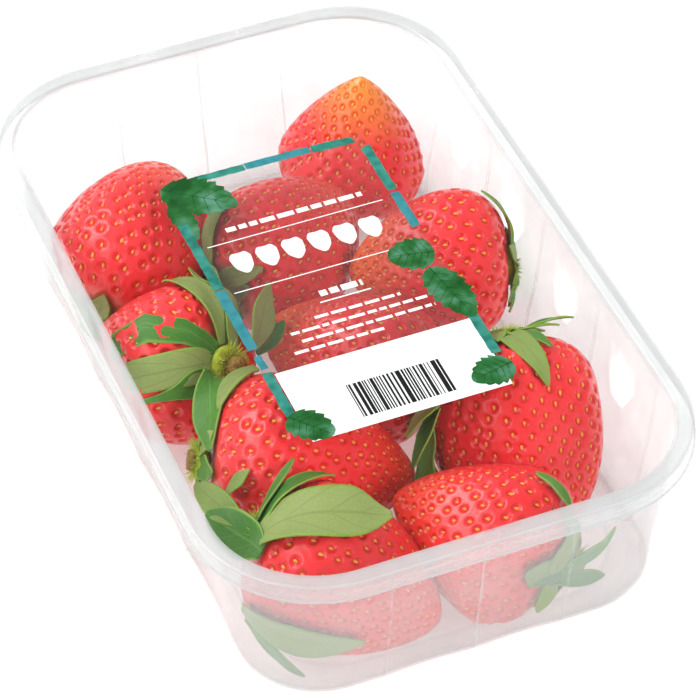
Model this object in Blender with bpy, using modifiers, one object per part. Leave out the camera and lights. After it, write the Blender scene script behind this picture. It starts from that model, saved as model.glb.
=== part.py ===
"""Punnet of strawberries.

A clear thermoformed tray with a flat sealing flange, a thin film lid sealed on that flange,
and the heap of berries inside. The long side runs along Y and the front is the short side at -Y.
The origin is the middle of the base, on the surface that the punnet stands on.
"""
import math

import bmesh
import bpy
from mathutils import Vector

# Driving dimensions, in metres
LENGTH = 0.187            # outside the rim, along Y
WIDTH = 0.1175            # outside the rim, along X
RIM_TOP = 0.044           # height of the sealing flange
WALL = 0.0005             # sheet thickness of the tray
GAP = 0.0003              # air between pieces that touch

SKIRT = 0.0043            # how far the outer lip turns down
LIP_FLARE = 0.0003        # the lip leans out by this much at its foot
FLANGE = 0.005            # width of the flat flange
RIM_CORNER = 0.030        # corner radius of the rim outline
BASE_CORNER = 0.019       # corner radius of the foot outline
BASE_INSET = 0.0097       # how far the foot stands in from the rim
FLOOR_RAISE = 0.001       # the floor stands this much above the foot

RIB_PITCH_LONG = 0.0304   # ribs on the long walls, measured from the middle
RIB_PITCH_SHORT = 0.0215  # ribs on the short walls
RIBS_LONG = 2             # panels each side of the middle on a long wall
RIBS_SHORT = 1
FLUTE = 0.0010            # how deep a wall panel sinks between two ribs
STEPS_PER_PANEL = 6
CORNER_STEPS = 7

VENT_RADIUS = 0.0047
VENT_HEIGHT = 0.0290
VENTS_Y = [(n + 0.5) * RIB_PITCH_LONG for n in (-2, -1, 0, 1)]

FILM_THICKNESS = 0.0003
FILM_SETBACK = 0.0006     # the film stops this far inside the rim

BERRY_SEGMENTS = 18
BERRY_RINGS = 11
WIDEST_AT = 0.36          # where a berry is widest, from its crown to its tip

# Each berry: crown point, tip point (mm), width (mm)
BERRIES = {
    "far_left": ((-47, 34, 18), (-17, 66, 27), 40),
    "far_right": ((31, 67, 2), (35, 67, 41), 37),
    "middle_left": ((-17, 27, 19), (22, 46, 22), 38),
    "middle_right": ((50, 9, 21), (14, 22, 20), 34),
    "left": ((-29, -6, 30), (-50, 24, 14), 38),
    "middle": ((16, -24, 19), (-12, 11, 21), 34),
    "near_left": ((-43, -28, 25), (3, -43, 16), 42),
    "near_right": ((30, -27, 36), (26, -62, 3), 40),
    "front_right": ((23, -81, 17), (-7, -56, 26), 36),
    "front_left": ((-42, -57, 30), (-9, -79, 10), 36),
}
CORE = (0.058, 0.128, 0.012)   # filler between the berries, under their shoulders
CORE_CENTRE = (-0.001, -0.006, 0.014)

PARTS = "punnet_of_strawberries"
GUIDES = "cutters"


def clear_scene():
    for item in list(bpy.data.objects):
        bpy.data.objects.remove(item, do_unlink=True)


def new_collection(name):
    group = bpy.data.collections.new(name)
    bpy.context.scene.collection.children.link(group)
    return group


def clear_plastic(name, colour, roughness, alpha):
    material = bpy.data.materials.new(name)
    material.use_nodes = True
    shader = material.node_tree.nodes["Principled BSDF"]
    shader.inputs["Base Color"].default_value = (*colour, 1.0)
    shader.inputs["Roughness"].default_value = roughness
    shader.inputs["Alpha"].default_value = alpha
    return material


def berry_flesh():
    material = bpy.data.materials.new("strawberry_flesh")
    material.use_nodes = True
    shader = material.node_tree.nodes["Principled BSDF"]
    shader.inputs["Base Color"].default_value = (0.80, 0.03, 0.03, 1.0)
    shader.inputs["Roughness"].default_value = 0.35
    return material


def add_object(name, mesh, group, material=None):
    item = bpy.data.objects.new(name, mesh)
    group.objects.link(item)
    if material:
        mesh.materials.append(material)
    return item


def as_cutter(item):
    item.hide_render = True
    item.display_type = "WIRE"
    return item


# ---------------------------------------------------------------- tray outline

def side_stations(half_straight, pitch, panels):
    """(place, depth) along one straight side: depth is 0 on a rib and 1 in the middle of a panel."""
    count = panels * STEPS_PER_PANEL
    reach = min(panels * pitch, half_straight - 0.001)
    stations = [(-half_straight, 0.0)]
    for n in range(-count, count + 1):
        depth = abs(math.sin(math.pi * n / STEPS_PER_PANEL))
        stations.append((reach * n / count, depth))
    return stations + [(half_straight, 0.0)]


def ring(inset, z, radius, flute=0.0):
    """Points round a rounded rectangle, pulled in between the ribs by flute."""
    half_x, half_y = WIDTH / 2 - inset, LENGTH / 2 - inset
    straight_x, straight_y = half_x - radius, half_y - radius
    points = []
    for turn in range(4):
        on_long = turn % 2 == 0
        half, straight = (half_x, straight_y) if on_long else (half_y, straight_x)
        pitch = RIB_PITCH_LONG if on_long else RIB_PITCH_SHORT
        panels = RIBS_LONG if on_long else RIBS_SHORT
        angle = turn * math.pi / 2
        out = Vector((math.cos(angle), math.sin(angle), 0))
        along = Vector((-math.sin(angle), math.cos(angle), 0))
        for place, depth in side_stations(straight, pitch, panels):
            points.append(out * (half - flute * depth) + along * place)
        centre = out * (half - radius) + along * straight
        for step in range(1, CORNER_STEPS):
            a = math.pi / 2 * step / CORNER_STEPS
            points.append(centre + radius * (out * math.cos(a) + along * math.sin(a)))
    return [Vector((p.x, p.y, z)) for p in points]


def loft(name, rings, cap_start=False, cap_end=False):
    """One skin through the rings, in order."""
    mesh = bpy.data.meshes.new(name)
    bm = bmesh.new()
    rows = [[bm.verts.new(p) for p in one] for one in rings]
    for low, high in zip(rows, rows[1:]):
        for i, vertex in enumerate(low):
            j = (i + 1) % len(low)
            bm.faces.new((vertex, low[j], high[j], high[i]))
    if cap_start:
        bm.faces.new(rows[0][::-1])
    if cap_end:
        bm.faces.new(rows[-1])
    bm.normal_update()
    bm.to_mesh(mesh)
    bm.free()
    return mesh


def corner_at(inset):
    """The corner radius shrinks from the rim to the foot as the wall leans in."""
    share = min(1.0, inset / BASE_INSET)
    return RIM_CORNER + (BASE_CORNER - RIM_CORNER) * share


def tray_rings():
    """Upper skin of the tray, from the foot of the lip over the flange and down to the floor."""
    profile = [
        # inset, height, share of the flute
        (0.0, RIM_TOP - SKIRT, 0.0),
        (LIP_FLARE, RIM_TOP - 0.0006, 0.0),
        (LIP_FLARE + 0.0006, RIM_TOP, 0.0),
        (FLANGE - 0.0006, RIM_TOP, 0.0),
        (FLANGE, RIM_TOP - 0.0008, 0.0),
        (FLANGE + 0.0005, RIM_TOP - 0.0060, 0.3),
        (FLANGE + 0.0018, 0.0240, 1.0),
        (BASE_INSET - 0.0008, 0.0120, 1.0),
        (BASE_INSET, 0.0022, 1.0),
        (BASE_INSET + 0.0012, WALL + 0.0002, 0.4),
        (BASE_INSET + 0.0022, WALL, 0.0),
        (BASE_INSET + 0.0058, WALL, 0.0),
        (BASE_INSET + 0.0070, WALL + FLOOR_RAISE, 0.0),
    ]
    return [ring(inset, z, corner_at(inset), FLUTE * share) for inset, z, share in profile]


def build_tray(parts, cutters):
    mesh = loft("tray", tray_rings(), cap_end=True)
    tray = add_object("tray", mesh, parts, clear_plastic("clear_pet_tray", (0.93, 0.95, 0.95), 0.08, 0.25))
    shell = tray.modifiers.new("sheet", "SOLIDIFY")
    shell.thickness = WALL
    shell.offset = -1.0
    for number, y in enumerate(VENTS_Y, start=1):
        cut = tray.modifiers.new(f"vent_{number}", "BOOLEAN")
        cut.operation = "DIFFERENCE"
        cut.object = vent_cutter(f"vent_cutter_{number}", y, cutters)
    return tray


def vent_cutter(name, y, cutters):
    """A round bar that passes through both long walls."""
    mesh = bpy.data.meshes.new(name)
    bm = bmesh.new()
    bmesh.ops.create_cone(bm, cap_ends=True, segments=20, radius1=VENT_RADIUS,
                          radius2=VENT_RADIUS, depth=WIDTH * 1.2)
    bm.to_mesh(mesh)
    bm.free()
    bar = add_object(name, mesh, cutters)
    bar.rotation_euler = (0, math.pi / 2, 0)
    bar.location = (0, y, VENT_HEIGHT)
    return as_cutter(bar)


# ---------------------------------------------------------------- film lid

def build_film(parts):
    low = RIM_TOP + GAP
    radius = corner_at(FILM_SETBACK)
    rings = [ring(FILM_SETBACK, low, radius), ring(FILM_SETBACK, low + FILM_THICKNESS, radius)]
    mesh = loft("lid_film", rings, cap_start=True, cap_end=True)
    return add_object("lid_film", mesh, parts, clear_plastic("clear_lid_film", (0.95, 0.96, 0.96), 0.05, 0.15))


# ---------------------------------------------------------------- berries

def berry_radius(t):
    """Half width of a berry, as a share of its greatest, from crown (t = 0) to tip (t = 1)."""
    if t < WIDEST_AT:
        u = 1.0 - t / WIDEST_AT
        return (1.0 - u ** 2.4) ** 0.5
    u = (t - WIDEST_AT) / (1.0 - WIDEST_AT)
    return (1.0 - u ** 1.9) ** 0.66


def berry_form(name, crown, tip, width, cutters):
    """A sphere drawn out into a berry between its crown point and its tip point."""
    start, end = Vector(crown) / 1000, Vector(tip) / 1000
    axis = end - start
    mesh = bpy.data.meshes.new(name)
    bm = bmesh.new()
    bmesh.ops.create_uvsphere(bm, u_segments=BERRY_SEGMENTS, v_segments=BERRY_RINGS, radius=1.0)
    for vertex in bm.verts:
        t = (1.0 + vertex.co.z) / 2
        across = math.hypot(vertex.co.x, vertex.co.y)
        reach = 0.0 if across < 1e-6 else width / 2000 * berry_radius(t) / across
        vertex.co = Vector((vertex.co.x * reach, vertex.co.y * reach, t * axis.length))
    bm.to_mesh(mesh)
    bm.free()
    form = add_object(name, mesh, cutters)
    form.rotation_euler = axis.to_track_quat("Z", "Y").to_euler()
    form.location = start
    return as_cutter(form)


def cavity_form(cutters):
    """The space the berries may fill: inside the walls, above the floor and below the film."""
    clear = FLUTE + GAP + 0.0003
    floor = WALL + FLOOR_RAISE + GAP
    rings = [
        ring(BASE_INSET + 0.0012 + clear, floor, BASE_CORNER - 0.002),
        ring(BASE_INSET + clear, 0.0060, BASE_CORNER - 0.001),
        ring(FLANGE + 0.0018 + clear, 0.0240, corner_at(FLANGE) - 0.001),
        ring(FLANGE + clear, RIM_TOP - GAP, corner_at(FLANGE)),
    ]
    mesh = loft("cavity", rings, cap_start=True, cap_end=True)
    return as_cutter(add_object("cavity", mesh, cutters))


def build_berries(parts, cutters):
    """All the berries as one heap: the separate forms joined over a low core."""
    mesh = bpy.data.meshes.new("strawberries")
    bm = bmesh.new()
    bmesh.ops.create_cube(bm, size=1.0)
    bmesh.ops.scale(bm, vec=CORE, verts=bm.verts)
    bmesh.ops.translate(bm, vec=CORE_CENTRE, verts=bm.verts)
    bm.to_mesh(mesh)
    bm.free()
    heap = add_object("strawberries", mesh, parts, berry_flesh())
    for name, (crown, tip, width) in BERRIES.items():
        join = heap.modifiers.new(name, "BOOLEAN")
        join.operation = "UNION"
        join.object = berry_form(f"berry_{name}", crown, tip, width, cutters)
    trim = heap.modifiers.new("fit_in_tray", "BOOLEAN")
    trim.operation = "INTERSECT"
    trim.object = cavity_form(cutters)
    return heap


def main():
    clear_scene()
    parts = new_collection(PARTS)
    cutters = new_collection(GUIDES)
    build_tray(parts, cutters)
    build_film(parts)
    build_berries(parts, cutters)


main()
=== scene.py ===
# %% [markdown]
# # A punnet of strawberries
#
# The real thing is three pieces: a clear tray drawn from a warm plastic sheet, a thin printed film welded
# on its flange, and a layer of large strawberries that leaves the far end of the tray free. The packed
# model gives the frame that everything here is built round, so it is loaded first, and its box is kept.

# %% Load the frame
import math

import bpy
import numpy as np
from mathutils import Matrix, Vector
from mathutils.bvhtree import BVHTree
from mathutils.kdtree import KDTree


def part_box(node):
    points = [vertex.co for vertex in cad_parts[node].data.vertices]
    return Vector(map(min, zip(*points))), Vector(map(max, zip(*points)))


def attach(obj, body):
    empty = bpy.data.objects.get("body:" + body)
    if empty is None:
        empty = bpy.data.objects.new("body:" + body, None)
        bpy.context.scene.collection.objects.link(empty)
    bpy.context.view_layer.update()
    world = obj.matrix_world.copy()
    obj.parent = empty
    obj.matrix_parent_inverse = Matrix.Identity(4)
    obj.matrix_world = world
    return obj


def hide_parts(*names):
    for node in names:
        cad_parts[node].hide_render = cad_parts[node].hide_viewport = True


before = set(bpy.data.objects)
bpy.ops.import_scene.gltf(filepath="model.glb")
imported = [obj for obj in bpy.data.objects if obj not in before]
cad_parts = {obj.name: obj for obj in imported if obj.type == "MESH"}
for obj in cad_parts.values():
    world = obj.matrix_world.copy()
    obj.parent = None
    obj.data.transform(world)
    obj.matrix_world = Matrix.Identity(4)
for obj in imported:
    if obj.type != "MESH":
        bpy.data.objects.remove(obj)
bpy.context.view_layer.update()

tray_low, tray_high = (Vector(corner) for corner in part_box("tray"))
film_low, film_high = (Vector(corner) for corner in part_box("lid_film"))
MM = 0.001
print("tray", [round(v / MM, 1) for v in (tray_high - tray_low)], "mm")

# %% [markdown]
# Every piece is made with the same few moves: nothing is selected before a new primitive is added, its
# points are moved in bulk where a rule shapes them, and the finished object sits at the origin and rides
# on the one body.

# %% Small helpers for objects
def deselect():
    for item in bpy.context.selected_objects:
        item.select_set(False)


def fresh(name, add, **settings):
    """Adds a primitive and names it."""
    deselect()
    add(**settings)
    item = bpy.context.active_object
    item.name = item.data.name = name
    return item


def only(item):
    deselect()
    item.select_set(True)
    bpy.context.view_layer.objects.active = item


def apply_place(item):
    only(item)
    bpy.ops.object.transform_apply(location=True, rotation=True, scale=True)


def apply_modifiers(item):
    only(item)
    for modifier in list(item.modifiers):
        bpy.ops.object.modifier_apply(modifier=modifier.name)


def points_of(item):
    flat = np.empty(len(item.data.vertices) * 3, dtype=np.float32)
    item.data.vertices.foreach_get("co", flat)
    return flat.reshape(-1, 3).astype(float)


def move_points(item, points):
    item.data.vertices.foreach_set("co", points.astype(np.float32).ravel())
    item.data.update()


def mesh_from(name, points, faces):
    """An object from rows of points and faces, for leaves and other lofts."""
    mesh = bpy.data.meshes.new(name)
    mesh.from_pydata([tuple(p) for p in points], [], [tuple(f) for f in faces])
    mesh.update()
    item = bpy.data.objects.new(name, mesh)
    bpy.context.scene.collection.objects.link(item)
    return item


def join(name, items):
    deselect()
    for item in items:
        item.select_set(True)
    bpy.context.view_layer.objects.active = items[0]
    bpy.ops.object.join()
    items[0].name = items[0].data.name = name
    return items[0]


def faces_out(item):
    only(item)
    bpy.ops.object.mode_set(mode="EDIT")
    bpy.ops.mesh.select_all(action="SELECT")
    bpy.ops.mesh.normals_make_consistent(inside=False)
    bpy.ops.object.mode_set(mode="OBJECT")


def keep(item, slot, *materials):
    """A finished piece: its materials and its place on the body. The slot argument is not used."""
    if materials:
        item.data.materials.clear()
        for material in materials:
            item.data.materials.append(material)
    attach(item, "root")
    print(item.name, len(item.data.polygons), "faces")
    return item


# %% [markdown]
# Materials are node trees. One function adds a node, sets its inputs and links it, so each material below
# reads as a short list of layers. Colours are the sRGB values a painter would pick, turned to linear for
# the shader.

# %% Small helpers for materials
def linear(code, alpha=1.0):
    parts = [int(code[i:i + 2], 16) / 255 for i in (1, 3, 5)]
    return tuple(c / 12.92 if c <= 0.04045 else ((c + 0.055) / 1.055) ** 2.4 for c in parts) + (alpha,)


def add_node(tree, kind, inputs=None, **settings):
    """A node with its settings; an input is a value, or another node's output socket to link."""
    made = tree.nodes.new("ShaderNode" + kind)
    for name, value in settings.items():
        setattr(made, name, value)
    for name, value in (inputs or {}).items():
        socket = made.inputs[name]
        if isinstance(value, bpy.types.NodeSocket):
            tree.links.new(value, socket)
        else:
            socket.default_value = value
    return made


def new_material(name):
    material = bpy.data.materials.new(name)
    material.use_nodes = True
    material.node_tree.nodes.clear()
    return material, material.node_tree


def ramp(tree, factor, *stops):
    made = add_node(tree, "ValToRGB", {"Fac": factor})
    elements = made.color_ramp.elements
    while len(elements) < len(stops):
        elements.new(0.5)
    for element, (place, colour) in zip(elements, stops):
        element.position = place
        element.color = colour if not isinstance(colour, str) else linear(colour)
    return made.outputs["Color"]


def mix_colour(tree, factor, first, second, blend="MIX"):
    made = add_node(tree, "Mix", {"Factor": factor}, data_type="RGBA", blend_type=blend)
    for index, value in ((6, first), (7, second)):
        if isinstance(value, bpy.types.NodeSocket):
            tree.links.new(value, made.inputs[index])
        else:
            made.inputs[index].default_value = linear(value)
    return made.outputs[2]


def surface(tree, shader):
    out = add_node(tree, "OutputMaterial", {"Surface": shader})
    return out


# %% [markdown]
# The light is a pack shot's: a white sweep lit until it is as bright as the paper, a big soft light above
# and behind on the left, and the camera looking down at the short end through a long lens.

# %% Camera, light and floor
CAMERA_TURN = math.radians(-21.59)       # round the punnet, from straight in front of the near end
CAMERA_RISE = math.radians(43.35)        # above the table
CAMERA_ROLL = math.radians(0.82)
CAMERA_DISTANCE = 0.8774
CAMERA_AIM = Vector((0.0112, 0.0173, 0.0))
FOCAL_LENGTH = 186.5                     # mm, on a 36 mm sensor

scene = bpy.context.scene
scene.view_settings.view_transform = "Standard"
scene.cycles.transparent_max_bounces = 24

toward = Vector((math.sin(CAMERA_TURN) * math.cos(CAMERA_RISE),
                 -math.cos(CAMERA_TURN) * math.cos(CAMERA_RISE),
                 math.sin(CAMERA_RISE)))
camera_data = bpy.data.cameras.new("pack_shot")
camera_data.lens = FOCAL_LENGTH
camera_data.sensor_width = 36
camera = bpy.data.objects.new("pack_shot", camera_data)
scene.collection.objects.link(camera)
camera.location = CAMERA_AIM + toward * CAMERA_DISTANCE
look = (-toward).to_track_quat("-Z", "Y").to_matrix().to_4x4()
camera.matrix_world = Matrix.Translation(camera.location) @ look @ Matrix.Rotation(-CAMERA_ROLL, 4, "Z")
scene.camera = camera

world = bpy.data.worlds.new("white_room")
scene.world = world
world.use_nodes = True
world.node_tree.nodes["Background"].inputs["Color"].default_value = (1, 1, 1, 1)
world.node_tree.nodes["Background"].inputs["Strength"].default_value = 0.5


def soft_light(name, place, size, power, seen_in_gloss=True):
    data = bpy.data.lights.new(name, "AREA")
    data.shape = "DISK"
    data.size = size
    data.energy = power
    lamp = bpy.data.objects.new(name, data)
    scene.collection.objects.link(lamp)
    lamp.location = place
    lamp.visible_glossy = seen_in_gloss
    lamp.rotation_euler = (Vector((0, 0, 0)) - Vector(place)).to_track_quat("-Z", "Y").to_euler()
    return lamp


soft_light("key_light", (-0.60, 0.70, 1.0), 0.9, 11.0)
soft_light("side_light", (-1.0, -0.15, 0.85), 1.1, 7.0)
soft_light("front_fill", (0.7, -1.1, 0.7), 0.9, 11.0, seen_in_gloss=False)

floor = fresh("floor", bpy.ops.mesh.primitive_plane_add, size=6.0, location=(0, 0, -0.0002))
paper, tree = new_material("white_paper_sweep")
surface(tree, add_node(tree, "BsdfPrincipled", {"Base Color": linear("#fbfbfb"), "Roughness": 0.9,
                                                "Specular IOR Level": 0.1, "Emission Strength": 0.35,
                                                "Emission Color": linear("#ffffff")}).outputs["BSDF"])
floor.data.materials.append(paper)
print("camera stands", round((camera.location - CAMERA_AIM).length, 3), "m away")

# %% [markdown]
# ## Strawberry flesh
# A strawberry is a swollen stalk end: a cone with round shoulders, with its seeds (achenes) set in pits
# on the outside. A sphere with many rings is drawn out between the crown and the tip, and the pits are
# pushed in as real relief, on the spiral that a plant uses to space its seeds. They crowd together toward
# the tip.

# %% Where each berry lies
# crown point, tip point and width in mm; then how flat it is, how blunt its tip, and how much of it is
# unripe
BERRIES = {
    "far_left": ((-47, 33, 17), (-16, 67, 27), 40, 1.00, 1.10, 0.25),
    "far_right": ((31, 67, 2), (35, 67, 40), 37, 1.00, 0.60, 0.95),
    "middle_left": ((-17, 28, 19), (22, 46, 22), 38, 0.95, 1.05, 0.10),
    "middle_right": ((50, 9, 21), (13, 22, 21), 35, 1.00, 0.95, 0.55),
    "left": ((-29, -6, 30), (-50, 24, 14), 38, 1.00, 0.95, 0.00),
    "middle": ((16, -24, 19), (-13, 11, 22), 34, 1.00, 0.90, 0.45),
    "near_left": ((-43, -28, 25), (3, -43, 16), 42, 0.95, 0.85, 0.10),
    "near_right": ((30, -27, 36), (26, -62, 3), 40, 0.95, 1.3, 0.00),
    "front_right": ((23, -82, 17), (-8, -56, 26), 37, 1.00, 0.80, 0.15),
    "front_left": ((-42, -58, 30), (-7, -80, 9), 37, 1.00, 0.95, 0.10),
}
SHOULDER_AT = 0.34          # where a berry is widest, from crown to tip
SEED_SPACING = (4.3, 2.7)   # mm between seeds, at the shoulder and at the tip
PIT_DEPTH = 0.85 * MM
PIT_WIDTH = 1.25 * MM


def outline(t, blunt):
    """Half width at a share t of the length, as a share of the greatest half width."""
    t = np.clip(t, 0.0, 1.0)
    up = 1.0 - t / SHOULDER_AT
    down = (t - SHOULDER_AT) / (1.0 - SHOULDER_AT)
    shoulder = np.clip(1.0 - np.abs(up) ** 2.5, 0, 1) ** 0.5
    cone = np.clip(1.0 - np.clip(down, 0, 1) ** (1.55 * blunt + 0.25), 0, 1) ** (0.66 / blunt ** 0.4)
    return np.where(t < SHOULDER_AT, shoulder, cone)


class Berry:
    """One berry's own shape: its axis, its swellings, and where its seeds sit."""

    def __init__(self, name, crown, tip, width, flat, blunt, unripe, seed):
        self.name, self.flat, self.blunt, self.unripe = name, flat, blunt, unripe
        self.crown, self.tip = Vector(crown) * MM, Vector(tip) * MM
        self.axis = (self.tip - self.crown).normalized()
        self.length = (self.tip - self.crown).length
        self.radius = width * MM / 2
        self.draw = np.random.default_rng(seed)
        self.lobes = [(k, self.draw.uniform(0.008, 0.03), self.draw.uniform(0, 6.28)) for k in (2, 3, 5)]
        turn = self.axis.to_track_quat("Z", "Y").to_matrix()
        self.turn = np.array(turn)

    def place(self, t, angle):
        """Points in the punnet for shares t along the berry and angles round it."""
        swell = 1.0 + sum(size * np.cos(k * angle + phase) for k, size, phase in self.lobes)
        bend = 0.05 * np.sin(math.pi * t) * np.cos(angle - self.lobes[0][2])
        r = self.radius * outline(t, self.blunt) * (swell + bend)
        dimple = 0.05 * np.exp(-(r / (0.35 * self.radius)) ** 2) * (t < 0.2)
        local = np.stack([r * np.cos(angle), r * np.sin(angle) * self.flat,
                          (t + dimple) * self.length], axis=1)
        return np.array(self.crown) + local @ self.turn.T

    def seeds(self):
        """(t, angle, spacing) of every seed, on a golden-angle spiral."""
        t = np.linspace(0.05, 0.995, 400)
        r = self.radius / MM * outline(t, self.blunt)
        spacing = SEED_SPACING[0] + (SEED_SPACING[1] - SEED_SPACING[0]) * t ** 1.3
        step = np.hypot(np.gradient(t) * self.length / MM, np.gradient(r))
        count = np.cumsum(2 * math.pi * r * step / (0.88 * spacing ** 2))
        wanted = np.arange(0.5, count[-1])
        at = np.interp(wanted, count, t)
        angle = wanted * math.pi * (3 - math.sqrt(5)) + self.draw.normal(0, 0.035, len(wanted))
        angle = angle % (2 * math.pi)
        return at, angle, np.interp(at, t, spacing)


berries = [Berry(name, *facts, seed=11 + n) for n, (name, facts) in enumerate(BERRIES.items())]
print(len(berries), "berries")

# %% [markdown]
# Soft fruit takes the shape of what it leans on, so each berry is pressed flat where it would pass
# through the tray, the film or the floor. The tray's inside is a rounded rectangle that narrows towards
# the floor.

# %% Press the berries into the tray
WALL_TOP_INSET = 0.0056
WALL_FOOT_INSET = 0.0104
FLOOR_TOP = 0.0018
CORNER_RADIUS = 0.022


def press(points, spare=0.0015):
    """Moves points that pass through the tray or film back inside it."""
    x, y, z = points.T
    rise = np.clip(z / tray_high.z, 0, 1)
    inset = WALL_FOOT_INSET + (WALL_TOP_INSET - WALL_FOOT_INSET) * rise + spare
    half_x, half_y = tray_high.x - inset, tray_high.y - inset
    core_x, core_y = half_x - CORNER_RADIUS, half_y - CORNER_RADIUS
    past_x, past_y = np.abs(x) - core_x, np.abs(y) - core_y
    corner = (past_x > 0) & (past_y > 0)
    reach = np.hypot(past_x, past_y)
    pull = np.where(corner & (reach > CORNER_RADIUS), CORNER_RADIUS / np.maximum(reach, 1e-9), 1.0)
    x = np.where(corner, np.sign(x) * (core_x + past_x * pull), np.clip(x, -half_x, half_x))
    y = np.where(corner, np.sign(y) * (core_y + past_y * pull), np.clip(y, -half_y, half_y))
    z = np.clip(z, FLOOR_TOP + spare, film_low.z - 0.0008)
    return np.stack([x, y, z], axis=1)


# %% [markdown]
# Every point of the sphere knows how far along the berry it is and how far it is from the nearest seed.
# The points near a seed sink along their own normal, and those just outside the pit rise a little, so
# light catches a ring round every seed. The same distance is stored for the skin material.

# %% Shape the flesh and its pits
ROUND_STEPS, LONG_STEPS = ((224, 136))


def vertex_normals(item):
    flat = np.empty(len(item.data.vertices) * 3, dtype=np.float32)
    item.data.vertex_normals.foreach_get("vector", flat)
    return flat.reshape(-1, 3).astype(float)


def store(item, name, values):
    attribute = item.data.attributes.new(name, "FLOAT", "POINT")
    attribute.data.foreach_set("value", values.astype(np.float32))


def shape_berry(berry):
    item = fresh("berry_" + berry.name, bpy.ops.mesh.primitive_uv_sphere_add,
                 segments=ROUND_STEPS, ring_count=LONG_STEPS, radius=1.0)
    ball = points_of(item)
    t = np.arccos(np.clip(-ball[:, 2], -1, 1)) / math.pi
    t = t - 0.11 * np.sin(2 * math.pi * t) / 2
    angle = np.arctan2(ball[:, 1], ball[:, 0])
    points = press(berry.place(t, angle))
    move_points(item, points)
    normals = vertex_normals(item)
    berry.smooth = points

    at, around, spacing = berry.seeds()
    seats = press(berry.place(at, around))
    tree = KDTree(len(seats))
    for index, seat in enumerate(seats):
        tree.insert(seat, index)
    tree.balance()
    near = [tree.find(p) for p in points]
    distance = np.array([found[2] for found in near])
    scale = spacing[[found[1] for found in near]] / SEED_SPACING[0]
    share = distance / (PIT_WIDTH * scale)
    pit = np.exp(-share ** 2.4)
    rim = np.exp(-((share - 1.45) / 0.40) ** 2)
    points = points - normals * (PIT_DEPTH * scale * pit)[:, None] + normals * (0.16 * MM * rim)[:, None]
    move_points(item, points)
    store(item, "along", t)
    store(item, "seat", share)
    store(item, "unripe", np.full(len(t), berry.unripe))
    item.data.shade_smooth()
    skin_tree = KDTree(len(points))
    for index, point in enumerate(berry.smooth):
        skin_tree.insert(point, index)
    skin_tree.balance()
    berry.seats, berry.scale = seats, spacing / SEED_SPACING[0]
    berry.seat_normals = normals[[skin_tree.find(seat)[1] for seat in seats]]
    return item


flesh = [shape_berry(berry) for berry in berries]
print("flesh", sum(len(item.data.polygons) for item in flesh), "faces")

# %% [markdown]
# ## Achenes
# Each seed is a little drop about 1.4 mm long that lies in its pit and points at the tip of the berry.
# One drop is modelled, and its points are repeated for every pit, so that all the seeds are one light
# mesh.

# %% Model one achene and set one in every pit
drop = fresh("achene", bpy.ops.mesh.primitive_uv_sphere_add, segments=7, ring_count=5, radius=1.0)
drop_points = points_of(drop)
drop_points[:, 0:2] *= (1.0 - 0.35 * np.clip(drop_points[:, 2:3], -1, 1))
drop_faces = [tuple(face.vertices) for face in drop.data.polygons]
bpy.data.objects.remove(drop)


def achenes_of(berry):
    points, faces = [], []
    for seat, normal, scale in zip(berry.seats, berry.seat_normals, berry.scale):
        normal = Vector(normal)
        forward = (berry.axis - normal * berry.axis.dot(normal))
        if forward.length < 0.05:
            forward = normal.orthogonal()
        forward.normalize()
        side = normal.cross(forward)
        grow = (0.8 + 0.2 * scale) * berry.draw.uniform(0.88, 1.12)
        frame_of = np.array([side * 0.38 * MM * grow, normal * 0.27 * MM * grow, forward * 0.62 * MM * grow])
        centre = np.array(seat) - np.array(normal) * (PIT_DEPTH * scale * 0.74)
        base = len(points)
        points.extend(centre + drop_points[:, [0, 1, 2]] @ frame_of)
        faces.extend(tuple(base + i for i in face) for face in drop_faces)
    return mesh_from("achenes_" + berry.name, points, faces)


achenes = join("achenes", [achenes_of(berry) for berry in berries])
achenes.data.shade_smooth()
print("achenes", len(achenes.data.polygons) // len(drop_faces))

# %% [markdown]
# Ripe skin is a thin glossy layer over wet, lightly see-through flesh, so it is a strong red with a
# little scattering below. It is paler round the crown and, on a berry picked early, orange at the tip.

# %% Material: ripe strawberry skin
skin, tree = new_material("ripe_strawberry_skin")
along = add_node(tree, "Attribute", attribute_name="along").outputs["Fac"]
seat = add_node(tree, "Attribute", attribute_name="seat").outputs["Fac"]
half_seat = add_node(tree, "Math", {0: seat, 1: 0.5}, operation="MULTIPLY").outputs["Value"]
unripe = add_node(tree, "Attribute", attribute_name="unripe").outputs["Fac"]
place = add_node(tree, "TexCoord").outputs["Object"]
blotch = add_node(tree, "TexNoise", {"Vector": place, "Scale": 1 / (9 * MM), "Detail": 2.0}).outputs["Fac"]
base = ramp(tree, blotch, (0.3, "#ec262a"), (0.7, "#f4383c"))
to_tip = add_node(tree, "MapRange", {"Value": along, "From Min": 0.62, "From Max": 1.0}).outputs["Result"]
tip_share = add_node(tree, "Math", {0: to_tip, 1: unripe}, operation="MULTIPLY").outputs["Value"]
base = mix_colour(tree, tip_share, base, "#f79a34")
to_crown = add_node(tree, "MapRange", {"Value": along, "From Min": 0.05, "From Max": 0.0}).outputs["Result"]
base = mix_colour(tree, to_crown, base, "#f08a70")
# Inside each pit the skin is mixed toward a deeper red: painted shade in the pits.
painted_pit_shade = add_node(tree, "MapRange", {"Value": seat, "From Min": 1.0, "From Max": 0.6, "To Max": 0.4})
base = mix_colour(tree, painted_pit_shade.outputs["Result"], base, "#cc1418")
grain = add_node(tree, "TexNoise", {"Vector": place, "Scale": 1 / (0.9 * MM), "Detail": 2.0}).outputs["Fac"]
grain_bump = add_node(tree, "Bump", {"Height": grain, "Strength": 0.12,
                                     "Distance": 0.1 * MM}).outputs["Normal"]
lip = ramp(tree, half_seat, (0.0, "#000000"), (0.42, "#000000"), (0.58, "#ffffff"),
           (0.75, "#8a8a8a"), (1.0, "#707070"))
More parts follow.
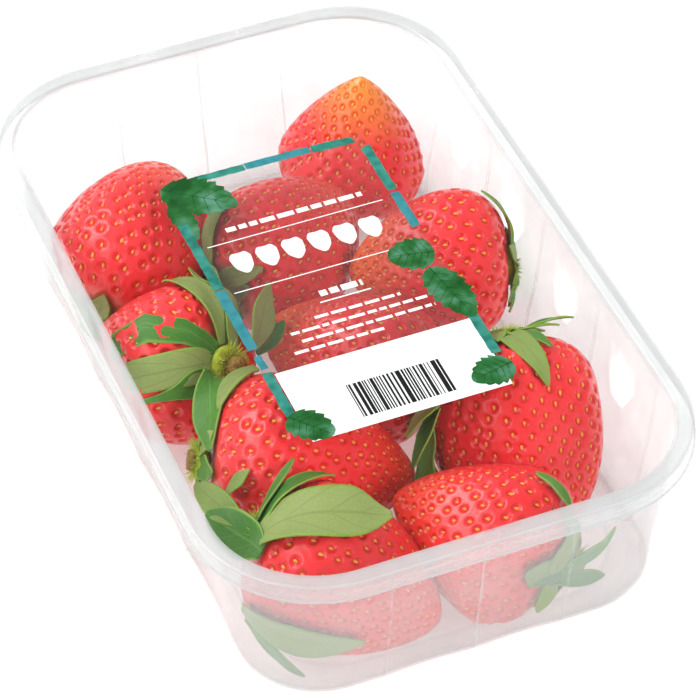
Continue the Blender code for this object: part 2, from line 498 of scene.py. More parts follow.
skin_bump = add_node(tree, "Bump", {"Height": lip, "Strength": 0.5, "Distance": 0.35 * MM,
                                    "Normal": grain_bump}).outputs["Normal"]
surface(tree, add_node(tree, "BsdfPrincipled", {
    "Base Color": base, "Roughness": 0.30, "Normal": skin_bump, "IOR": 1.4,
    "Subsurface Weight": 0.12, "Subsurface Radius": (0.9, 0.25, 0.15), "Subsurface Scale": 0.0025,
    "Specular IOR Level": 0.35, "Coat Weight": 0.6, "Coat Roughness": 0.17}).outputs["BSDF"])

# %% [markdown]
# Achenes are dry little fruits with a hard, smooth coat. They read as warm orange to straw dots with a
# small highlight each.

# %% Material: achene
seed_coat, tree = new_material("achene_coat")
place = add_node(tree, "TexCoord").outputs["Object"]
spread = add_node(tree, "TexNoise", {"Vector": place, "Scale": 1 / (3 * MM)}).outputs["Fac"]
surface(tree, add_node(tree, "BsdfPrincipled", {
    "Base Color": ramp(tree, spread, (0.3, "#ec8c30"), (0.6, "#f6a844"), (0.8, "#f0c060")),
    "Roughness": 0.38, "Specular IOR Level": 0.4}).outputs["BSDF"])

for item in flesh:
    keep(item, "strawberries", skin)
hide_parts("strawberries")
keep(achenes, "strawberries", seed_coat)

# %% [markdown]
# ## Sepals
# The green cap of each berry is a ring of leaf-like sepals. A real one starts narrow, swells, and runs
# out to a point; it is folded along its middle vein and curls off the fruit. A flat grid is bent along a
# curve from its base to its tip, given that outline, pushed off the flesh it would cut into, and
# thickened to a thin leaf. The grid's own UV map follows the leaf, so the veins can be drawn along it.

# %% One sepal
fruit_points = [berry.smooth for berry in berries]
fruit_faces = [tuple(face.vertices) for face in flesh[0].data.polygons]
fruit_tree = BVHTree.FromPolygons(
    [tuple(p) for rows in fruit_points for p in rows],
    [tuple(i + n * len(fruit_points[0]) for i in face) for n in range(len(berries)) for face in fruit_faces])
LEAF_ACROSS = 10
LEAF_ALONG = 22
leaf_draw = np.random.default_rng(5)


def clear_of_fruit(point, spare):
    place, normal, _, _ = fruit_tree.find_nearest(point)
    depth = (point - place).dot(normal)
    return point + normal * (spare - depth) if depth < spare else point


def spine_of(base, middle, tip, up):
    """The leaf's middle line, lifted clear of the fruit, and which way is out along it."""
    line = []
    for s in np.linspace(0, 1, LEAF_ALONG + 1):
        point = base * (1 - s) ** 2 + middle * 2 * s * (1 - s) + tip * s ** 2
        line.append(clear_of_fruit(point, 0.0012))
    for _ in range(4):
        line = [line[0]] + [(a + b * 2 + c) / 4 for a, b, c in zip(line, line[1:], line[2:])] + [line[-1]]
    outs = []
    for point in line:
        _, normal, _, distance = fruit_tree.find_nearest(point)
        near = max(0.0, 1.0 - distance / 0.006)
        outs.append((up * (1.0 - 0.7 * near) + normal * (0.7 * near)).normalized())
    for _ in range(4):
        between = [(a + b * 2 + c).normalized() for a, b, c in zip(outs, outs[1:], outs[2:])]
        outs = [outs[0]] + between + [outs[-1]]
    return line, outs


def sepal(name, centre, base, tip, width, tone, lift=2.5, cup=0.2, curl=0.0):
    """A leaf from base to tip (mm); tone 0 is a pale underside, 1 a dark upper side turned to the eye."""
    base, tip = Vector(base) * MM, Vector(tip) * MM
    up = ((base + tip) / 2 - Vector(centre)).normalized()
    middle = (base + tip) / 2 + up * lift * MM
    spine, outs = spine_of(base, middle, tip, up)
    leaf = fresh("sepal_" + name, bpy.ops.mesh.primitive_grid_add, x_subdivisions=LEAF_ALONG,
                 y_subdivisions=LEAF_ACROSS, size=2.0, calc_uvs=True)
    phase = leaf_draw.uniform(0, 6.28)
    points = []
    for x, y, _ in points_of(leaf):
        s, v = (x + 1) / 2, y
        row = min(LEAF_ALONG, round(s * LEAF_ALONG))
        run = (spine[min(row + 1, LEAF_ALONG)] - spine[max(row - 1, 0)]).normalized()
        side = outs[row].cross(run).normalized()
        out = run.cross(side)
        half = width * MM / 2 * np.interp(s, [0, .08, .2, .35, .5, .65, .8, .9, .96, 1],
                                          [.36, .50, .80, .98, 1, .87, .58, .33, .15, .02])
        rise = cup * abs(v) ** 1.6 + 0.13 * math.sin(8 * s + phase + 1.5 * v) * abs(v)
        points.append(spine[row] + side * (v * half) + out * (rise * half + curl * MM * s ** 3))
    for _ in range(3):
        points = press(np.array([clear_of_fruit(Vector(point), 0.0009) for point in points]), 0.0002)
        move_points(leaf, points)
        leaf.modifiers.new("relax", "SMOOTH").iterations = 3
        apply_modifiers(leaf)
        points = points_of(leaf)
    points = np.array([clear_of_fruit(Vector(point), 0.0007) for point in points])
    move_points(leaf, press(points, 0.0002))
    thick = leaf.modifiers.new("thickness", "SOLIDIFY")
    thick.thickness = 0.0004
    thick.offset = 0.0
    thick.material_offset = 1
    leaf.data.materials.append(sepal_materials[tone > 0.5])
    leaf.data.materials.append(sepal_materials[tone <= 0.5])
    apply_modifiers(leaf)
    store(leaf, "tone", np.full(len(leaf.data.vertices), leaf_draw.uniform(0, 1)))
    leaf.data.shade_smooth()
    return leaf


# %% [markdown]
# Both sides of a sepal are the same tissue, but the underside is hairy and pale and the upper side smooth
# and deep green. Each has a midrib, slanting side veins, and a fine net between them, all drawn from the
# leaf's UV map.

# %% Materials: the two sides of a sepal
def leaf_material(name, body, second, painted_edge_highlight, vein, roughness, vein_share):
    material, tree = new_material(name)
    uv = add_node(tree, "UVMap", uv_map="UVMap").outputs["UV"]
    split = add_node(tree, "SeparateXYZ", {"Vector": uv})
    along, across = split.outputs["X"], split.outputs["Y"]
    off = add_node(tree, "Math", {0: across, 1: 0.5}, operation="SUBTRACT").outputs["Value"]
    off = add_node(tree, "Math", {0: off}, operation="ABSOLUTE").outputs["Value"]
    tone = add_node(tree, "Attribute", attribute_name="tone").outputs["Fac"]
    place = add_node(tree, "TexCoord").outputs["Object"]
    cloud = add_node(tree, "TexNoise", {"Vector": place, "Scale": 1 / (5 * MM), "Detail": 3.0}).outputs["Fac"]
    share = add_node(tree, "Math", {0: cloud, 1: 0.5, 2: tone}, operation="MULTIPLY_ADD").outputs["Value"]
    share = add_node(tree, "MapRange", {"Value": share, "From Min": 0.25, "From Max": 1.25}).outputs["Result"]
    colour = mix_colour(tree, share, body, second)
    # Near the leaf's edges the colour is mixed toward a lighter green: painted highlight along the sepal
    # edges.
    rim = add_node(tree, "MapRange", {"Value": off, "From Min": 0.38, "From Max": 0.5}).outputs["Result"]
    colour = mix_colour(tree, rim, colour, painted_edge_highlight)
    slant = add_node(tree, "Math", {0: off, 1: -0.62, 2: along}, operation="MULTIPLY_ADD").outputs["Value"]
    step = add_node(tree, "Math", {0: slant, 1: 0.115}, operation="PINGPONG").outputs["Value"]
    side_vein = add_node(tree, "MapRange", {"Value": step, "From Min": 0.013,
                                            "From Max": 0.0}).outputs["Result"]
    midrib = add_node(tree, "MapRange", {"Value": off, "From Min": 0.035, "From Max": 0.01}).outputs["Result"]
    veins = add_node(tree, "Math", {0: side_vein, 1: midrib}, operation="MAXIMUM").outputs["Value"]
    net = add_node(tree, "TexVoronoi", {"Vector": place, "Scale": 1 / (1.1 * MM)}, feature="DISTANCE_TO_EDGE")
    mesh_line = add_node(tree, "MapRange", {"Value": net.outputs["Distance"], "From Min": 0.09,
                                            "From Max": 0.0, "To Max": 0.5}).outputs["Result"]
    veins = add_node(tree, "Math", {0: veins, 1: mesh_line}, operation="MAXIMUM").outputs["Value"]
    line = add_node(tree, "Math", {0: veins, 1: vein_share}, operation="MULTIPLY").outputs["Value"]
    colour = mix_colour(tree, line, colour, vein)
    bump = add_node(tree, "Bump", {"Height": veins, "Strength": 0.35, "Distance": 0.2 * MM}).outputs["Normal"]
    surface(tree, add_node(tree, "BsdfPrincipled", {
        "Base Color": colour, "Roughness": roughness, "Specular IOR Level": 0.3,
        "Normal": bump}).outputs["BSDF"])
    return material


sepal_under = leaf_material("sepal_underside_hairy", "#83994e", "#9ca868", "#82a83c", "#77864a", 0.55, 0.6)
sepal_upper = leaf_material("sepal_upper_side", "#356f22", "#578c30", "#86ab48", "#7aa850", 0.42, 0.35)
sepal_materials = {True: sepal_upper, False: sepal_under}

# %% [markdown]
# The caps that show are set sepal by sepal: base point, tip point, width and how dark the side turned to
# the eye is. The caps of the other berries are a plain ring that lies back over the shoulder.

# %% Place the sepals
SEPALS = {
    "left": [
        ((-26, -5, 33), (-27, 23, 36), 7.5, 0, 1.5), ((-22, -6, 33), (-12, 9, 38), 9, 0, 1.0),
        ((-29, -2, 33), (-35, 16, 34), 7.5, 0, 2.0), ((-31, -2, 32), (-45, 12, 28), 4.5, 1, 1.5),
        ((-32, -5, 32), (-49, 2, 29), 10, 0, 4.5), ((-34, -10, 34), (-43, -34, 33), 10, 1, 2.0),
        ((-33, -9, 32), (-45, -6, 28), 7, 1, 2.0), ((-32, -12, 33), (-43, -28, 30), 8, 0, 2.5),
        ((-24, -14, 35), (-37, -26, 36), 5.5, 0, 1.5), ((-21, -5, 30), (-11, 2, 31), 5, 1, 1.0)],
    "front_left": [
        ((-41, -65, 33), (-14, -72, 38), 16, 0, 3.0), ((-42, -61, 34), (-22, -57, 37), 9, 1, 2.0),
        ((-43, -60, 33), (-28, -48, 39), 4.5, 1, 0.5), ((-41, -69, 33), (-49, -47, 29), 12, 1, 2.0),
        ((-44, -57, 33), (-48, -37, 28), 8, 0, 2.0), ((-45, -47, 30), (-37, -45, 36), 5, 0, 1.0),
        ((-47, -68, 21), (-26, -84, 15), 12, 0, 1.5), ((-48, -68, 16), (-40, -82, 4), 8, 1, 1.0)],
    "near_right": [
        ((31, -29, 36), (48, -30, 38), 5, 1, 3.0), ((31, -29, 37), (43, -33, 40), 4, 0, 2.0),
        ((29, -31, 37), (35, -41, 36), 6, 1, 1.0), ((28, -31, 38), (31, -48, 37), 7.5, 0, 1.5),
        ((18, -34, 37), (8, -42, 34), 7, 0, 1.0), ((12, -38, 35), (0, -44, 30), 6, 0, 1.0),
        # The last two dark sepals in this list fill the gap between near_left and near_right: dark leaves set
        # there as painted shade.
        ((10, -40, 33), (0, -48, 24), 5, 1, 1.0), ((12, -38, 28), (-1, -51, 13), 9, 1, 0.5),
        ((11, -42, 20), (3, -56, 8), 9, 1, 0.5)],
    "front_right": [
        ((18, -87, 18), (11, -79, 23), 10, 0, 1.5), ((19, -88, 18), (34, -83, 26), 5.5, 1, 1.5),
        ((19, -88, 16), (32, -87, 12), 6.5, 1, 2.0), ((18, -87, 16), (21, -79, 33), 6, 0, 1.0),
        ((18, -87, 16), (15, -88, 6), 6, 0, 1.0), ((22, -79, 32), (19, -72, 38), 4, 1, 0.5)],
    "middle_right": [
        ((50, 9, 27), (45, 1, 14), 6, 1, 1.5), ((47, 7, 27), (48, 21, 31), 4.5, 1, 0.5),
        ((50, 8, 22), (44, -2, 20), 5, 1, 1.0), ((50, 10, 24), (42, 18, 33), 5, 1, 1.0)],
    "middle_left": [
        ((-18, 31, 24), (-23, 45, 24), 6.5, 0, 1.0), ((-19, 31, 26), (-20, 19, 30), 7, 0, 1.0),
        ((-17, 29, 24), (-8, 22, 30), 6, 0, 1.5), ((-17, 32, 26), (-9, 40, 36), 5.5, 0, 1.0)],
}
RINGS = {"far_left": (7, 13), "far_right": (8, 15), "middle": (7, 12), "near_left": (7, 12),
         "middle_right": (5, 10), "middle_left": (5, 10), "front_right": (4, 12), "near_right": (4, 11)}

sepals = []
for berry in berries:
    centre = berry.crown + berry.axis * berry.length * 0.45
    for n, (base, tip, width, tone, lift) in enumerate(SEPALS.get(berry.name, [])):
        sepals.append(sepal(f"{berry.name}_{n}", centre, base, tip, width, tone, lift))
    count, length = RINGS.get(berry.name, (0, 0))
    for n in range(count):
        angle = 2 * math.pi * (n + leaf_draw.uniform(-0.2, 0.2)) / count
        around = Vector(berry.turn @ np.array([math.cos(angle), math.sin(angle), 0.0]))
        reach = length * leaf_draw.uniform(0.8, 1.15)
        base = berry.crown / MM + around * 2.0 - berry.axis * 0.8
        tip = berry.crown / MM + around * reach * 0.93 + berry.axis * (reach * 0.22)
        sepals.append(sepal(f"{berry.name}_ring_{n}", centre, base, tip, leaf_draw.uniform(5, 7),
                            n % 3 == 0, 1.5))

caps = join("sepals", sepals)
keep(caps, "strawberries")

# %% [markdown]
# Under the sepals each cap has a fleshy, hairy, yellow-green cushion, and the cut stub of the stem stands
# in it with a dry brown end.

# %% Calyx cushions and stem stubs
# stub length and how far out the cushion stands, in mm
STUBS = {"left": (3.5, 0.5), "front_right": (2.5, 0.0), "near_left": (2.0, 0.0)}


def calyx(berry):
    long, out = (value * MM for value in STUBS.get(berry.name, (1.2, -1.0)))
    cushion = fresh("cushion", bpy.ops.mesh.primitive_uv_sphere_add, segments=40, ring_count=20,
                    radius=4.8 * MM)
    turn = (-berry.axis).to_track_quat("Z", "Y").to_matrix().to_4x4()
    flatten = Matrix.Diagonal((1, 1, 0.4, 1))
    cushion.matrix_world = Matrix.Translation(berry.crown - berry.axis * out) @ turn @ flatten
    apply_place(cushion)
    stub = fresh("stub", bpy.ops.mesh.primitive_cone_add, vertices=24, radius1=2.8 * MM, radius2=2.3 * MM,
                 depth=long)
    stub.matrix_world = Matrix.Translation(berry.crown - berry.axis * (out + 1.2 * MM + long / 2)) @ turn
    apply_place(stub)
    return cushion, stub


calyxes = [calyx(berry) for berry in berries]
cushions = join("calyx_cushions", [pair[0] for pair in calyxes])
stubs = join("stem_stubs", [pair[1] for pair in calyxes])
for item in (cushions, stubs):
    move_points(item, press(points_of(item), 0.0002))
    item.data.shade_smooth()


# %% [markdown]
# Fine hairs stand round the stem end and soften its outline. One thin cone is modelled and its points are
# repeated at random leans.

# %% Hairs round the stem
def hair_ring(berry, count):
    hair = fresh("hair", bpy.ops.mesh.primitive_cone_add, vertices=5, radius1=0.16 * MM, radius2=0.03 * MM,
                 depth=1.0 * MM, location=(0, 0, 0.5 * MM))
    apply_place(hair)
    shape, faces = points_of(hair), [tuple(face.vertices) for face in hair.data.polygons]
    bpy.data.objects.remove(hair)
    points, polygons = [], []
    for n in range(count):
        a = berry.draw.uniform(0, 2 * math.pi)
        lean = berry.draw.uniform(0.5, 1.35)
        direction = Vector((math.cos(a) * math.sin(lean), math.sin(a) * math.sin(lean), -math.cos(lean)))
        direction = Vector(berry.turn @ np.array(direction))
        around = Vector(berry.turn @ np.array((math.cos(a), math.sin(a), 0.0)))
        out = STUBS.get(berry.name, (1.2, -1.0))[1]
        root = berry.crown - berry.axis * (out + 1.3) * MM + around * berry.draw.uniform(1.8, 4.0) * MM
        turn = np.array(direction.to_track_quat("Z", "Y").to_matrix())
        stretch = np.array([1, 1, berry.draw.uniform(1.6, 3.2)])
        polygons.extend(tuple(n * len(shape) + i for i in face) for face in faces)
        points.extend(np.array(root) + (shape * stretch) @ turn.T)
    return mesh_from("hairs_" + berry.name, press(np.array(points), 0.0002), polygons)


hairs = join("calyx_hairs", [hair_ring(berry, 260 if berry.name == "left" else 90) for berry in berries])

# %% [markdown]
# Cushion, hair and stem share one fibrous, matt finish: two close colours broken up by fine noise, with
# the same noise as relief.

# %% Materials: cushion, stem and hair
def fuzzy(name, low, high, size):
    material, tree = new_material(name)
    place = add_node(tree, "TexCoord").outputs["Object"]
    fibre = add_node(tree, "TexNoise", {"Vector": place, "Scale": 1 / size, "Detail": 4.0}).outputs["Fac"]
    bump = add_node(tree, "Bump", {"Height": fibre, "Strength": 0.8, "Distance": 0.4 * MM}).outputs["Normal"]
    surface(tree, add_node(tree, "BsdfPrincipled", {
        "Base Color": ramp(tree, fibre, (0.35, low), (0.65, high)), "Roughness": 0.7,
        "Normal": bump}).outputs["BSDF"])
    return material


keep(hairs, "strawberries", fuzzy("calyx_hair", "#b4c42c", "#d0d860", 1.5 * MM))
keep(cushions, "strawberries", fuzzy("hairy_calyx_cushion", "#a3b82a", "#c6d040", 0.8 * MM))
keep(stubs, "strawberries", fuzzy("dry_cut_stem", "#7a5a22", "#a88a3a", 0.7 * MM))

# %% [markdown]
# ## Tray
# The tray is one sheet of clear PET, drawn hot into a mould: a lip that turns down, a flat flange, a wall
# with ribs that stiffen it, and a raised floor inside a narrow foot. A flat grid has one side for the way
# round the rim and one for the way in from the lip to the floor, so it is rolled up into the tray and its
# seam welded. Haze is stored with the points; it is raised along the ribs and at the bends of the sheet
# as painted highlight, where those bends would catch the light.

# %% Roll a grid up into the tray
RIM_CORNER = 0.030
FOOT_CORNER = 0.019
FOOT_INSET = 0.0097
FLUTE = 0.0006
# The haze column is raised at the bends of the lip, flange and foot: painted highlight where those bends
# catch the light.
PROFILE = [  # inset, height, share of the flute, haze of one face
    (.0000, .0397, 0, .62), (.00008, .0402, 0, .30), (.00015, .0416, 0, .30), (.0002, .0419, 0, .42),
    (.00026, .0422, 0, .30), (.0003, .0434, 0, .30), (.0005, .0438, 0, .50), (.0009, .0440, 0, .62),
    (.0013, .0440, 0, .42), (.0028, .0440, 0, .40), (.0041, .0440, 0, .42), (.0046, .0438, 0, .56),
    (.0050, .0432, 0, .50), (.0051, .0424, .05, .30), (.0055, .0380, .3, .26), (.0060, .0320, .7, .25),
    (.0068, .0240, 1, .25), (.0078, .0180, 1, .25), (.0089, .0120, 1, .25), (.0094, .0060, 1, .27),
    (.0097, .0026, 1, .32), (.0101, .0015, .8, .42), (.0109, .0008, .4, .34), (.0119, .0005, 0, .24),
    (.0137, .0005, 0, .16), (.0155, .0005, 0, .20), (.0160, .0009, 0, .26), (.0167, .0015, 0, .14)]
half_x, half_y = tray_high.x, tray_high.y


def panel_places(pitch, panels):
    """Places along a wall, close together at each rib, with how deep the sheet is there and where a rib's
    painted highlight line runs.
    """
    rows = []
    for k in range(-panels, panels):
        for share in [0.006, 0.018, 0.06, 0.15, 0.27, 0.4, 0.5, 0.6, 0.73, 0.85, 0.94, 0.982, 0.994]:
            rib = 1.0 if share in (0.006, 0.994) else 0.0
            rows.append(((k + share) * pitch, math.sin(math.pi * share), rib))
    return rows


def rim_points(inset, z, flute, haze_and_highlight):
    share = min(1.0, inset / FOOT_INSET)
    radius = RIM_CORNER + (FOOT_CORNER - RIM_CORNER) * share
    in_x, in_y = half_x - inset, half_y - inset
    rows = []
    for turn in range(4):
        on_long = turn % 2 == 0
        half, straight = (in_x, in_y - radius) if on_long else (in_y, in_x - radius)
        pitch, panels = (0.0304, 2) if on_long else (0.0215, 1)
        squeeze = min(1.0, (straight - 0.002) / (pitch * panels))
        angle = turn * math.pi / 2
        out = Vector((math.cos(angle), math.sin(angle), 0))
        go = Vector((-math.sin(angle), math.cos(angle), 0))
        end = panels * pitch * squeeze
        rows.append((out * half - go * straight, 0.0))
        rows.append((out * half - go * (straight + end) / 2, 0.0))
        rows.append((out * half - go * (end + 0.0003), 0.0))
        for place, depth, rib in panel_places(pitch, panels):
            sunk = half - FLUTE * flute * depth
            rows.append((out * sunk + go * place * squeeze, rib * min(1, 2 * flute)))
        rows.append((out * half + go * (end + 0.0003), 0.0))
        rows.append((out * half + go * (straight + end) / 2, 0.0))
        rows.append((out * half + go * straight, 0.0))
        centre = out * (half - radius) + go * straight
        for step in range(1, 24):
            a = math.pi / 2 * step / 24
            rows.append((centre + radius * (out * math.cos(a) + go * math.sin(a)), 0.0))
    rows.append(rows[0])
    # Along each rib the haze is raised by 0.14: a thin painted highlight line.
    return [(point.x, point.y, z, haze_and_highlight + 0.14 * rib) for point, rib in rows]


rings = np.array([rim_points(*ring) for ring in PROFILE])
tray = fresh("punnet_tray", bpy.ops.mesh.primitive_grid_add,
             x_subdivisions=rings.shape[1] - 1, y_subdivisions=rings.shape[0] - 1, size=2.0)
move_points(tray, rings[:, :, :3].reshape(-1, 3))
store(tray, "haze_and_highlight", rings[:, :, 3].ravel())
only(tray)
bpy.ops.object.mode_set(mode="EDIT")
bpy.ops.mesh.select_all(action="SELECT")
bpy.ops.mesh.remove_doubles(threshold=1e-6)
bpy.ops.mesh.select_all(action="DESELECT")
bpy.ops.object.mode_set(mode="OBJECT")
inner_z = PROFILE[-1][1]
low_edge = [v.index for v in tray.data.vertices
            if abs(v.co.z - inner_z) < 1e-6
            and abs(v.co.x) < half_x - 0.0160
            and abs(v.co.y) < half_y - 0.0160]
for index in low_edge:
    tray.data.vertices[index].select = True
bpy.ops.object.mode_set(mode="EDIT")
bpy.ops.mesh.select_mode(type="VERT")
bpy.ops.mesh.edge_face_add()
bpy.ops.object.mode_set(mode="OBJECT")
faces_out(tray)
if sum(face.normal.z * face.area for face in tray.data.polygons) < 0:
    tray.data.flip_normals()
sheet = tray.modifiers.new("sheet", "SOLIDIFY")
sheet.thickness = 0.0005
sheet.offset = -1.0
apply_modifiers(tray)
print("tray height", round((max(v.co.z for v in tray.data.vertices)) / MM, 2), "mm")

# %% [markdown]
# Four round vents are punched through each long wall, so that the fruit doesn't sweat. Cylinders right
# across the tray cut both walls at once.

# %% Punch the vents
vents = []
for y in (-0.0456, -0.0152, 0.0152, 0.0456):
    cutter = fresh("vent", bpy.ops.mesh.primitive_cylinder_add, vertices=48, radius=0.0047, depth=0.14,
                   location=(0, y, 0.029), rotation=(0, math.pi / 2, 0))
    apply_place(cutter)
    vents.append(cutter)
cutters = join("vent_cutters", vents)
punch = tray.modifiers.new("vents", "BOOLEAN")
punch.object = cutters
punch.operation = "DIFFERENCE"
punch.solver = "EXACT"
apply_modifiers(tray)
bpy.data.objects.remove(cutters)
only(tray)
bpy.ops.object.shade_smooth_by_angle(angle=math.radians(40))

# %% [markdown]
# Thermoformed PET is clear but not perfect: it lets most light straight through and scatters the rest,
# more so in the flange, which is why fruit behind the near wall looks milky. The extra haze along the ribs
# and at the bends is painted highlight.

# %% Material: hazy clear PET
pet, tree = new_material("clear_pet_sheet")
haze_and_highlight = add_node(tree, "Attribute", attribute_name="haze_and_highlight").outputs["Fac"]
place = add_node(tree, "TexCoord").outputs["Object"]
flow = add_node(tree, "TexNoise", {"Vector": place, "Scale": 1 / (14 * MM), "Detail": 2.0}).outputs["Fac"]
flow = add_node(tree, "MapRange", {"Value": flow, "From Min": 0.3, "From Max": 0.7, "To Min": 0.85,
                                   "To Max": 1.15}).outputs["Result"]
share = add_node(tree, "Math", {0: haze_and_highlight, 1: flow}, operation="MULTIPLY").outputs["Value"]
# The scattering part is grey rather than white: painted shade, so the clear sheet shows against the white
# floor.
milk_and_painted_shade = add_node(tree, "BsdfPrincipled", {"Base Color": linear("#ced2d2"), "Roughness": 0.16, "IOR": 1.5})
mixed = add_node(tree, "MixShader", {0: share, 1: add_node(tree, "BsdfTransparent").outputs["BSDF"],
                                     2: milk_and_painted_shade.outputs["BSDF"]})
surface(tree, mixed.outputs["Shader"])
keep(tray, "tray", pet)
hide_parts("tray")

# %% [markdown]
# ## Lid film
# The film is welded to the flange all the way round and is cut just inside the lip. It is so thin and
# clear that only a slight sheen gives it away.

# %% Lid film
film_corner = RIM_CORNER - 0.0006
film = fresh("lid_film_sheet", bpy.ops.mesh.primitive_plane_add, size=2.0)
film.scale = (film_high.x, film_high.y, 1)
film.location.z = film_low.z
apply_place(film)
bpy.ops.object.mode_set(mode="EDIT")
bpy.ops.mesh.select_all(action="SELECT")
bpy.ops.mesh.bevel(offset=film_corner, segments=20, affect="VERTICES")
bpy.ops.mesh.select_all(action="SELECT")
bpy.ops.mesh.extrude_region_move(TRANSFORM_OT_translate={"value": (0, 0, 0.0002)})
bpy.ops.object.mode_set(mode="OBJECT")
faces_out(film)
clear_film, tree = new_material("clear_lid_film")
sheen = add_node(tree, "BsdfPrincipled", {"Base Color": linear("#ffffff"), "Roughness": 0.08, "IOR": 1.5})
mixed = add_node(tree, "MixShader", {0: 0.005, 1: add_node(tree, "BsdfTransparent").outputs["BSDF"],
                                     2: sheen.outputs["BSDF"]})
surface(tree, mixed.outputs["Shader"])
keep(film, "lid_film", clear_film)
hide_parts("lid_film")

# %% [markdown]
# ## Print on the film
# The film carries a printed panel: a thin smoky tint, torn-looking teal strips along three of its edges,
# mint-like leaves at its corners, white rules, and an opaque white field for the price code. Each colour
# is its own thin layer of ink on top of the film. Words and marks are left out, and plain shapes stand
# where they would be.

# %% Ink layers
INK = 0.02 * MM
film_top = film_low.z + 0.0002
print_draw = np.random.default_rng(3)


def ink(name, outline_mm, layer):
    """A flat shape of ink, one layer thick, from its outline in mm."""
    shape = fresh(name, bpy.ops.mesh.primitive_circle_add, vertices=len(outline_mm), fill_type="NGON")
    z = film_top + INK * (0.25 + layer)
    move_points(shape, np.array([(x * MM, y * MM, z) for x, y in outline_mm]))
    only(shape)
    bpy.ops.object.mode_set(mode="EDIT")
    bpy.ops.mesh.select_all(action="SELECT")
    bpy.ops.mesh.extrude_region_move(TRANSFORM_OT_translate={"value": (0, 0, INK * 0.6)})
    bpy.ops.object.mode_set(mode="OBJECT")
    faces_out(shape)
    return shape


def block(x0, y0, x1, y1):
    return [(x0, y0), (x1, y0), (x1, y1), (x0, y1)]


def torn_strip(start, end, width, rough=0.25):
    """A strip with uneven long sides and ragged ends, like a stroke of a dry brush."""
    start, end = Vector(start), Vector(end)
    run = (end - start).normalized()
    side = Vector((-run.y, run.x))
    steps = max(6, int((end - start).length / 1.2))
    rows = []
    for sign in (1, -1):
        shares = np.linspace(0, 1, steps) if sign > 0 else np.linspace(1, 0, steps)
        for share in shares:
            wobble = width / 2 + print_draw.uniform(-rough, rough) * 0.5
            slip = print_draw.uniform(-0.4, 0.4) if share in (0, 1) else 0
            point = start.lerp(end, share) + side * sign * wobble + run * slip
            rows.append((point.x, point.y))
    return rows


def leaf_outline(base, tip, width, teeth, round_tip=0.0):
    base, tip = Vector(base), Vector(tip)
    run = tip - base
    side = Vector((-run.y, run.x)).normalized()
    rows = []
    for sign in (1, -1):
        shares = np.linspace(0, 1, 6 * teeth + 1)[:-1]
        shares = shares if sign > 0 else 1 - shares
        for share in shares:
            tooth = (share * teeth) % 1.0
            swell = math.sin(math.pi * share ** 0.8) ** (0.75 - round_tip)
            half = width / 2 * swell * (0.84 + 0.22 * tooth)
            point = base + run * share + side * sign * half
            rows.append((point.x, point.y))
    return rows


def leaf_veins(base, tip, width, pairs):
    """A midrib and slanting side veins as thin tapered strokes."""
    base, tip = Vector(base), Vector(tip)
    run = tip - base
    side = Vector((-run.y, run.x)).normalized()
    strokes = [(base, base + run * 0.93, 0.28)]
    for n in range(pairs):
        share = 0.12 + 0.72 * n / pairs
        half = width / 2 * math.sin(math.pi * (share + 0.12) ** 0.8) ** 0.8 * 0.85
        for sign in (1, -1):
            root = base + run * share
            strokes.append((root, root + run * 0.16 + side * sign * half, 0.20))
    shapes = []
    for a, b, wide in strokes:
        across = Vector((-(b - a).y, (b - a).x)).normalized() * wide / 2
        shapes.append([(a - across)[:], (b - across * 0.3)[:], (b + across * 0.3)[:], (a + across)[:]])
    return shapes


def layer(name, shapes, level, material):
    return keep(join(name, [ink(f"{name}_{n}", shape, level) for n, shape in enumerate(shapes)]),
                "lid_film", material)


def flat_ink(name, *stops, size=3.0, roughness=0.45):
    """Opaque ink whose colour wanders a little, as a water-colour wash does."""
    material, tree = new_material(name)
    place = add_node(tree, "TexCoord").outputs["Object"]
    wash = add_node(tree, "TexNoise", {"Vector": place, "Scale": 1 / (size * MM),
                                       "Detail": 3.0}).outputs["Fac"]
    surface(tree, add_node(tree, "BsdfPrincipled", {
        "Base Color": ramp(tree, wash, *stops), "Roughness": roughness,
        "Specular IOR Level": 0.2}).outputs["BSDF"])
    return material


# %% [markdown]
# The inks go down in order: the smoky tint lets the fruit show through, the teal strips lie on it with
# uneven brushed edges, and the leaves are opaque with darker veins on top.

# %% Tint, strips and leaves
tint_ink, tree = new_material("smoky_tint_ink")
smoke = add_node(tree, "BsdfPrincipled", {"Base Color": linear("#6c6c6c"), "Roughness": 0.5})
mixed = add_node(tree, "MixShader", {0: 0.095, 1: add_node(tree, "BsdfTransparent").outputs["BSDF"],
                                     2: smoke.outputs["BSDF"]})
surface(tree, mixed.outputs["Shader"])
layer("tint", [block(-27.0, -27.4, 24.6, 42.6)], 0, tint_ink)

teal_strips = [torn_strip((-18.5, 41.6), (-5.5, 41.6), 2.3), torn_strip((-26.2, 27.5), (-26.2, 3.5), 2.4),
               torn_strip((11.5, 41.4), (22.0, 40.9), 2.6), torn_strip((23.8, 37.5), (23.8, 20.5), 2.4),
               torn_strip((23.8, -26.5), (23.8, -40.0), 2.4), torn_strip((-26.1, -26.5), (-26.1, -41.0), 2.4)]
blue_strips = [torn_strip((-5.2, 41.6), (11.0, 41.6), 2.4), torn_strip((-26.2, 3.0), (-26.2, -18.0), 2.5),
               torn_strip((23.8, 19.5), (23.8, 6.5), 2.3), torn_strip((-26.2, -20.5), (-26.0, -25.0), 1.7)]
layer("teal_strips", teal_strips, 2,
      flat_ink("teal_ink", (0.35, "#1f6f62"), (0.55, "#338a7c"), (0.7, "#469684")))
layer("blue_strips", blue_strips, 2,
      flat_ink("blue_teal_ink", (0.35, "#2b7f88"), (0.6, "#3f8f99"), (0.75, "#3a8c84")))

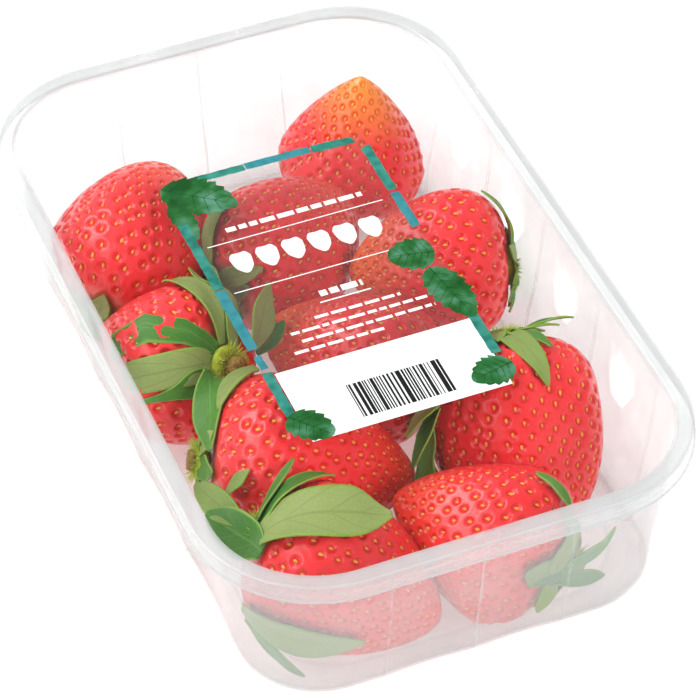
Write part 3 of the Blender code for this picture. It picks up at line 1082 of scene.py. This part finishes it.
LEAVES = [  # base, tip, width, teeth, rounding
    ((-26.6, 41.5), (-11.5, 29.5), 14.0, 8, 0.0),
    ((-26.0, 36.0), (-24.4, 21.5), 6.0, 6, 0.0),
    ((24.3, -3.5), (13.6, -1.0), 11.5, 5, 0.25),
    ((21.0, -8.0), (24.0, -27.3), 10.0, 7, 0.15),
    ((25.8, -44.0), (15.2, -46.4), 10.0, 6, 0.1),
    ((-26.8, -41.2), (-19.5, -50.2), 9.5, 5, 0.25)]
leaf_green = flat_ink("leaf_green_ink", (0.32, "#0c4c18"), (0.5, "#256a32"), (0.68, "#5a9074"), size=6.0)
layer("print_leaves", [leaf_outline(*leaf) for leaf in LEAVES if leaf[2] > 7], 3, leaf_green)
layer("print_leaf_behind", [leaf_outline(*leaf) for leaf in LEAVES if leaf[2] <= 7], 1.6, leaf_green)
broad = [leaf[:3] for leaf in LEAVES if leaf[2] > 7]
layer("print_veins", [vein for leaf in broad for vein in leaf_veins(*leaf, 5)], 4,
      flat_ink("dark_green_ink", (0.4, "#0b4a1c"), (0.6, "#14542a")))

# %% [markdown]
# The white ink is opaque: the field for the code, two rules, rows of dashes where small print would be,
# and a row of little plain berry shapes in the place of the title. The code is a block of bars of random
# widths.

# %% White ink and bars
def berry_mark(x, y, size):
    """A plain little strawberry: a rounded drop."""
    rows = []
    for n in range(32):
        a = 2 * math.pi * n / 32
        across = abs(math.cos(a)) ** 0.8 * math.copysign(0.5, math.cos(a))
        rise = 0.42 * math.sin(a) if math.sin(a) > 0 else 0.95 * math.sin(a)
        rows.append((x + size * across * (1.0 + 0.12 * math.sin(a)),
                     y + size * rise + 0.04 * size * math.cos(6 * a)))
    return rows


def dash_row(x0, x1, y, tall):
    """Dashes of uneven length, as a line of small print looks from afar."""
    rows = []
    x = x0
    while x < x1:
        long = print_draw.uniform(1.6, 4.2)
        rows.append(block(x, y - tall / 2, min(x + long, x1), y + tall / 2))
        x += long + 0.7
    return rows


white = [block(-24.6, -50.5, 23.1, -27.3), block(-23.6, 17.85, 20.2, 18.15), block(-23.4, 0.85, 17.0, 1.15),
         block(-6.5, -9.6, 6.0, -9.2)]
white += [berry_mark(-17.8 + 6.4 * n, 11.6, 5.2) for n in range(6)]
white += dash_row(-17.5, 16.5, 22.0, 1.5) + dash_row(-5.5, 5.0, -6.6, 1.9)
for n, (x0, x1) in enumerate([(-9.5, 11.5), (-16.5, 17.0), (-15.0, 17.5), (-18.0, 4.0)]):
    white += dash_row(x0, x1, -13.6 - 3.1 * n, 0.9)
layer("white_print", white, 1, flat_ink("white_ink", (0.4, "#f6f9f8"), (0.6, "#fdfefe")))

bars = []
x = -11.4
while x < 10.6:
    wide = print_draw.choice([0.25, 0.35, 0.5, 0.8, 1.1])
    bars.append(block(x, -47.6, min(x + wide, 10.8), -36.8))
    x += wide + print_draw.choice([0.22, 0.3, 0.45, 0.6])
layer("code_bars", bars, 2, flat_ink("black_ink", (0.4, "#101010"), (0.6, "#181818")))
